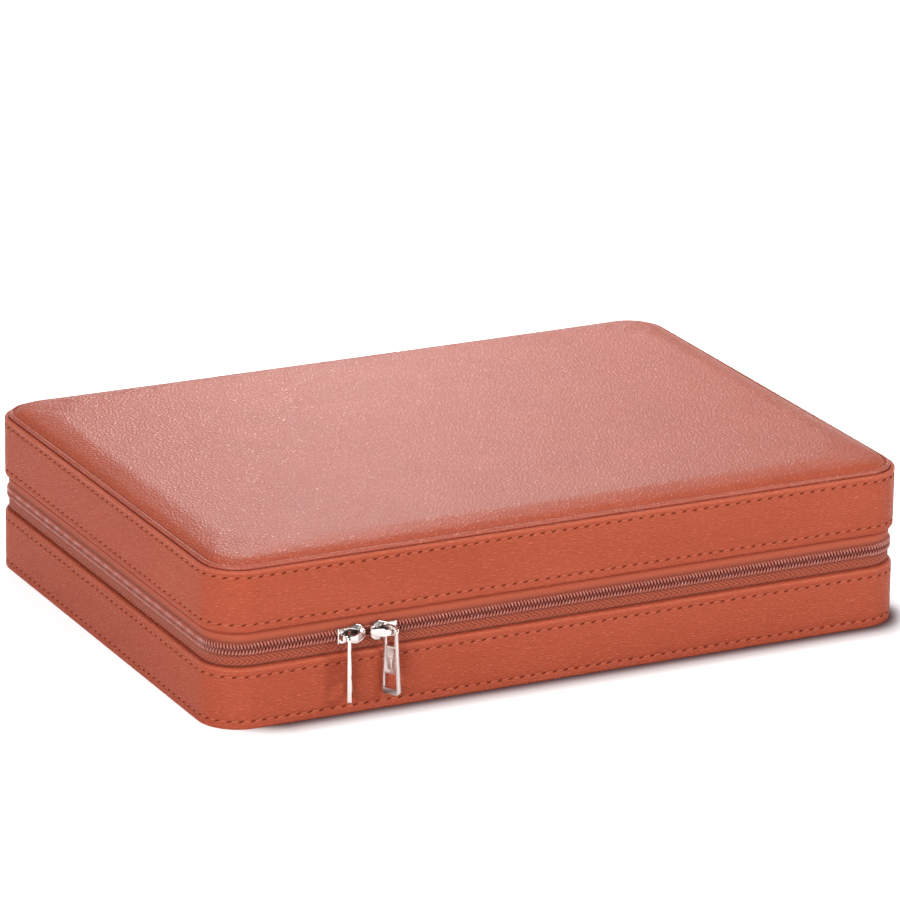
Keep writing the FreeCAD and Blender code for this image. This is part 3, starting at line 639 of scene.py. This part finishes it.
# The bead's leather carries painted shade in the crease just above the rim.
bead_leather = leather(
    "bead_leather", "Object", 1.6 * MM, 1.0, 0.2 * MM, 0.1, gap=RIM_TOP + 0.9 * MM, Specular_IOR_Level=0.6
)
PAD_IN = 2.2 * MM
PAD_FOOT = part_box("lid_top_leather")[0].z
PAD_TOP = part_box("lid_top_leather")[1].z
BEAD = 1.1 * MM
BEAD_HEIGHT = RIM_TOP + 0.25 * MM
BEAD_STRETCH = 1.5
SWELL_IN = 4.0 * MM
SWELL_FOOT = RIM_TOP + 0.9 * MM
SWELL_REACH = 13 * MM
SWELL_STEP = 2.4 * MM
SWELL_PRESSURE = 1.0
SWELL_MOST = 0.8 * MM
PLUMP_STEPS = 20

bm = bmesh.new()
bead = arc((PAD_IN + BEAD, 0), BEAD, 180, 10, 12)
bead = [(inset, BEAD_HEIGHT + height * BEAD_STRETCH) for inset, height in bead]
bead_end = bead[-1][0]
profile = [(PAD_IN, PAD_FOOT)] + bead
profile += [(bead_end + BEAD, SWELL_FOOT - BEAD), (bead_end + BEAD, PAD_FOOT)]
wrap_case(bm, profile, 3 * MM)
new_piece("pad_edge_roll", bm, bead_leather, "lid", "leather", "lid_top_leather")


def swell(bm, inset, foot, top, step):
    """A crowned form with rounded corners and a flat back, inside the case's outline by an inset. Gives the
    numbers of the points along its border."""
    half_x = HALF_LENGTH - inset
    half_y = HALF_DEPTH - inset
    across = (round(2 * half_x / step), round(2 * half_y / step))
    bmesh.ops.create_grid(bm, x_segments=across[0], y_segments=across[1], size=1.0)
    for vertex in bm.verts:
        x = abs(vertex.co.x) * half_x
        y = abs(vertex.co.y) * half_y
        inside = min(half_x - x, half_y - y)
        rise = min(1, inside / SWELL_REACH)
        radius = min(CORNER - inset, half_y - inside)
        on_end = half_x - x < half_y - y
        from_corner = half_y - inside - y if on_end else half_x - inside - x
        if from_corner < radius:
            angle = math.pi / 4 * (1 - from_corner / radius)
            near, far = radius * math.sin(angle), radius * math.cos(angle)
            x = half_x - inside - radius + (far if on_end else near)
            y = half_y - inside - radius + (near if on_end else far)
        vertex.co.x = math.copysign(x, vertex.co.x)
        vertex.co.y = math.copysign(y, vertex.co.y)
        vertex.co.z = foot + (top - foot) * math.sqrt(1 - (1 - rise) ** 2)
    border = [vertex.index for vertex in bm.verts if vertex.is_boundary]
    bmesh.ops.contextual_create(bm, geom=[edge for edge in bm.edges if edge.is_boundary])
    bmesh.ops.recalc_face_normals(bm, faces=bm.faces)
    return border


def plump(bm, held, pressure, most):
    """Blows a closed form up as cloth with air inside. The held points stay, and none moves further than
    most."""
    scene = bpy.context.scene
    mesh = bpy.data.meshes.new("blown")
    bm.to_mesh(mesh)
    blown = bpy.data.objects.new("blown", mesh)
    scene.collection.objects.link(blown)
    blown.vertex_groups.new(name="held").add(held, 1.0, "REPLACE")
    cloth = blown.modifiers.new("cloth", "CLOTH")
    cloth.settings.vertex_group_mass = "held"
    cloth.settings.quality = 3
    cloth.settings.use_pressure = True
    cloth.settings.uniform_pressure_force = pressure
    cloth.settings.effector_weights.gravity = 0.0
    for step in range(1, PLUMP_STEPS + 1):
        scene.frame_set(step)
    settled = blown.evaluated_get(bpy.context.evaluated_depsgraph_get()).data
    for vertex, reached in zip(bm.verts, settled.vertices):
        move = reached.co - vertex.co
        vertex.co += move * min(1, most / max(move.length, NEAR))
    scene.frame_set(1)
    bpy.data.objects.remove(blown)
    bpy.data.meshes.remove(mesh)


bm = bmesh.new()
border = swell(bm, SWELL_IN, SWELL_FOOT, PAD_TOP - SWELL_MOST / 2, SWELL_STEP)
plump(bm, border, SWELL_PRESSURE, SWELL_MOST)
cushion = new_piece("pad_cushion", bm, pad_leather, "lid", "leather", "lid_top_leather")

# Foam. A sheet of soft foam, cut a little smaller than the leather that is drawn over it and glued on the
# lid's board. None of it shows.
foam, start = new_finish("foam", Roughness=0.95)
cells = start.node("TexCoord", output="Object").noise(1400, 2.0)
feed(foam, Base_Color=cells.tint((0.55, 0.5, 0.36), (0.75, 0.7, 0.55)), Normal=cells.bump(0.3 * MM))
bm = bmesh.new()
swell(bm, SWELL_IN + 1.5 * MM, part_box("lid_foam_pad")[0].z, PAD_TOP - 1.4 * MM, 2 * SWELL_STEP)
core = new_piece("foam_core", bm, foam, "lid", "foam", "lid_foam_pad")

# Sliders and pulls. Zinc, die-cast, tumbled until every edge is soft and plated with nickel. A slider is two
# plates joined by a wedge, with a strap over the front that carries its pull.
SLIDER_OFF = 8 * MM
EYE_HALF = 3.6 * MM
EYE_HEIGHT = 2.4 * MM
EYE_DEPTH = 2.4 * MM

nickel, start = new_finish("nickel", Metallic=1.0)
place = start.node("TexCoord", output="Object")
along, out, height = (place.node("SeparateXYZ", (), {0: place}, axis) for axis in "XYZ")
along = along.math("ABSOLUTE", along - PART_MIDDLE) - SLIDER_OFF
# Painted shade: the hollow behind each slider's strap is darkened, and made rougher.
hollow_shade = along.math("ABSOLUTE", along).ramp(EYE_HALF * 0.6, EYE_HALF * 1.2, 1.0, 0.0)
hollow_shade *= height.math("ABSOLUTE", height - ZIP_HEIGHT).ramp(EYE_HEIGHT * 0.6, EYE_HEIGHT * 1.2, 1.0, 0.0)
hollow_shade *= out.ramp(-HALF_DEPTH - EYE_DEPTH - 1 * MM, -HALF_DEPTH - EYE_DEPTH)
rub = place.scaled(1, 1, 0.25).noise(900, 3.0)
feed(
    nickel,
    Base_Color=((rub * 0.2 + 0.8) * (1 - hollow_shade * 0.85)).tint((0.06, 0.05, 0.045), (0.79, 0.7, 0.67)),
    Roughness=rub.ramp(0, 1, 0.1, 0.24) + hollow_shade * 0.2,
    Normal=rub.bump(0.01 * MM),
)
CAST_GRAIN = 0.13 * MM
DOME = 0.8 * MM
PLATE_HALF = 4.9 * MM
TUMBLING = 16
PULL_ROUND = 0.25 * MM


def casting(node):
    """A copy of a piece of the frame, with its corners joined up."""
    bm = bmesh.new()
    bm.from_mesh(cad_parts[node].data)
    bmesh.ops.remove_doubles(bm, verts=bm.verts, dist=NEAR)
    return bm


for side in ("left", "right"):
    node = f"slider_{side}"
    bm = casting(node)
    for vertex in bm.verts:
        if vertex.co.y < -HALF_DEPTH:
            vertex.co.y += DOME * ((vertex.co.z - ZIP_HEIGHT) / PLATE_HALF) ** 2
    slider = new_piece(f"cast_slider_{side}", bm, nickel, node, "nickel", node)
    skin = slider.modifiers.new("skin", "REMESH")
    skin.mode = "VOXEL"
    skin.voxel_size = CAST_GRAIN
    skin.use_smooth_shade = True
    tumbled = slider.modifiers.new("tumbled", "SMOOTH")
    tumbled.factor = 0.5
    tumbled.iterations = TUMBLING

    node = f"pull_{side}"
    bm = casting(node)
    bmesh.ops.dissolve_limit(bm, angle_limit=math.radians(1), verts=bm.verts, edges=bm.edges)
    corners = [edge for edge in bm.edges if edge.calc_face_angle(0) > math.radians(35)]
    bmesh.ops.bevel(
        bm,
        geom=corners,
        offset=PULL_ROUND,
        segments=3,
        profile=0.5,
        affect="EDGES",
        material=-1,
        clamp_overlap=True,
    )
    new_piece(f"cast_pull_{side}", bm, nickel, node, "nickel", node)

# Inside. A board tray that fills the base, its half-lapped dividers and the hollow of the lid, all covered
# in short flocked velvet that is glued down.
velvet, start = new_finish("velvet", Roughness=0.9, Sheen_Weight=0.6, Sheen_Roughness=0.35)
pile = start.node("TexCoord", output="Object").noise(1600, 3.0)
brush = start.node("TexCoord", output="Object").noise(25, 2.0)
feed(
    velvet,
    Base_Color=(pile * 0.5 + brush * 0.5).tint((0.42, 0.31, 0.2), (0.62, 0.49, 0.35)),
    Normal=pile.bump(0.25 * MM),
)
dress(velvet, "insert_tray", "divider_long", "divider_front_middle", "lid_lining")
dress(velvet, "divider_cross_left", "divider_cross_right")

# Ring rolls. Foam sausages covered in the same velvet, laid side by side in the middle of the tray. Rings
# stand in the grooves between them.
ROLL_ROUND = 0.46
ROLL_END = 3 * MM
ROLL_CUTS = 24
ROLL_PRESSURE = 2.0
ROLL_MOST = 0.6 * MM
low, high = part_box("ring_roll_1")
bm = bmesh.new()
bmesh.ops.create_cube(bm, size=1.0)
bmesh.ops.scale(bm, verts=bm.verts, vec=high - low - Vector((2, 2, 2)) * ROLL_MOST)
upright = [edge for edge in bm.edges if abs((edge.verts[0].co - edge.verts[1].co).x) > NEAR]
round_off = ROLL_ROUND * (high.y - low.y)
bmesh.ops.bevel(bm, geom=upright, offset=round_off, segments=8, profile=0.5, affect="EDGES", material=-1)
ends = [edge for edge in bm.edges if abs((edge.verts[0].co - edge.verts[1].co).x) < NEAR]
bmesh.ops.bevel(bm, geom=ends, offset=ROLL_END, segments=4, profile=0.5, affect="EDGES", material=-1)
lengthwise = [edge for edge in bm.edges if abs((edge.verts[0].co - edge.verts[1].co).x) > 20 * MM]
bmesh.ops.subdivide_edges(bm, edges=lengthwise, cuts=ROLL_CUTS)
bmesh.ops.recalc_face_normals(bm, faces=bm.faces)
plump(bm, [], ROLL_PRESSURE, ROLL_MOST)
for number in range(1, 8):
    name = f"ring_roll_{number}"
    low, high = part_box(name)
    copy = bm.copy()
    bmesh.ops.translate(copy, verts=copy.verts, vec=(low + high) / 2)
    new_piece(f"velvet_roll_{number}", copy, velvet, "base", "velvet", name)
bm.free()

# Studio. A white floor, a soft box behind, two broad lights in front and a long lens. Two small lights behind
# give the pad its gloss. None of it is part of the case.
scene = bpy.context.scene
scene.view_settings.view_transform = "Standard"


def seen_directly(start):
    """1 for rays from the lens and for those that metal or glass sends on, else 0."""
    seen = start.node("LightPath", output="Is Camera Ray")
    seen = seen.math("MAXIMUM", seen, start.node("LightPath", output="Is Glossy Ray"))
    return seen.math("MAXIMUM", seen, start.node("LightPath", output="Is Transmission Ray"))


SHADOW_SHIFT = 9 * MM
white_floor, start = new_finish("white_floor", Roughness=1.0, Specular_IOR_Level=0.0, Emission_Strength=1.0)
# Painted contact shadow: near the case the floor darkens and its glow fades, the patch shifted to the right.
away = start.node("TexCoord", output="Object")
away = away.node("VectorMath", {"operation": "SUBTRACT"}, {0: away, 1: (SHADOW_SHIFT, 0, 0)})
away = away.node("VectorMath", {"operation": "ABSOLUTE"}, {0: away})
inner = (STRAIGHT_X - SHADOW_SHIFT, STRAIGHT_Y, 0)
away = away.node("VectorMath", {"operation": "SUBTRACT"}, {0: away, 1: inner})
away = away.node("VectorMath", {"operation": "MAXIMUM"}, {0: away, 1: (0, 0, 0)})
away = away.node("VectorMath", {"operation": "LENGTH"}, {0: away}, "Value") - CORNER
# The glow fades near the case: part of the painted contact shadow.
glow = away.ramp(0.004, 0.018, 0.0, 0.65) + away.ramp(0.05, 0.2, 0.0, 0.35)
feed(
    white_floor,
    # Reddish grey within 8 mm of the case: the painted contact shadow's colour.
    Base_Color=away.ramp(0, 8 * MM).tint((0.2, 0.13, 0.135), (0.88, 0.9, 0.92)),
    Emission_Color=seen_directly(start) * glow,
)
bm = bmesh.new()
bmesh.ops.create_grid(bm, x_segments=1, y_segments=1, size=12.0)
bmesh.ops.translate(bm, verts=bm.verts, vec=(0, 0, -0.02 * MM))
mesh = bpy.data.meshes.new("floor")
bm.to_mesh(mesh)
bm.free()
mesh.materials.append(white_floor)
floor = bpy.data.objects.new("floor", mesh)
scene.collection.objects.link(floor)

AMBIENT = 0.33
BRIGHT_SIDE = (0.85, 0.53, 0)
world = bpy.data.worlds.new("studio")
scene.world = world
world.use_nodes = True
start = Value(world.node_tree)
way = start.node("TexCoord", output="Generated")
way = way.node("VectorMath", {"operation": "DOT_PRODUCT"}, {0: way, 1: BRIGHT_SIDE}, "Value")
seen = seen_directly(start)
level = way.ramp(0.15, 0.8, 0.1, 0.56) * seen + (1 - seen) * AMBIENT
backdrop = world.node_tree.nodes["Background"]
world.node_tree.links.new(level.socket, backdrop.inputs["Strength"])
backdrop.inputs["Color"].default_value = (1, 1, 1, 1)


def soft_box(name, place, aim, width, height, power):
    """A rectangular soft light aimed at a point."""
    light = bpy.data.lights.new(name, "AREA")
    light.shape = "RECTANGLE"
    light.size = width
    light.size_y = height
    light.energy = power
    lamp = bpy.data.objects.new(name, light)
    lamp.location = place
    lamp.rotation_euler = (Vector(aim) - Vector(place)).to_track_quat("-Z", "Y").to_euler()
    scene.collection.objects.link(lamp)


soft_box("key", (1.2, -1.7, 1.0), (0, -0.1, 0.04), 0.6, 0.6, 17.5)
soft_box("fill", (-1.6, -1.4, 0.6), (-0.1, 0, 0.04), 0.9, 0.9, 26.5)
soft_box("back", (0.2, 0.5, 0.95), (-0.05, -0.1, 0.08), 0.45, 0.4, 5.5)
soft_box("glint", (0.33, 0.92, 0.5), (-0.14, -0.1, 0.08), 0.16, 0.1, 0.5)
soft_box("far_glint", (1.43, 2.94, 1.34), (0, 0, 0.08), 0.5, 0.3, 8)

AZIMUTH = math.radians(-26.611)
ELEVATION = math.radians(18.649)
ROLL_ANGLE = math.radians(0.802)
lens = bpy.data.cameras.new("lens")
lens.lens = 243.13
lens.sensor_width = 36
lens.clip_end = 100
camera = bpy.data.objects.new("camera", lens)
turn = (
    Matrix.Rotation(AZIMUTH, 4, "Z")
    @ Matrix.Rotation(math.pi / 2 - ELEVATION, 4, "X")
    @ Matrix.Rotation(ROLL_ANGLE, 4, "Z")
)
camera.matrix_world = Matrix.Translation((-1.2323, -2.4645, 1.0006)) @ turn
scene.collection.objects.link(camera)
scene.camera = camera
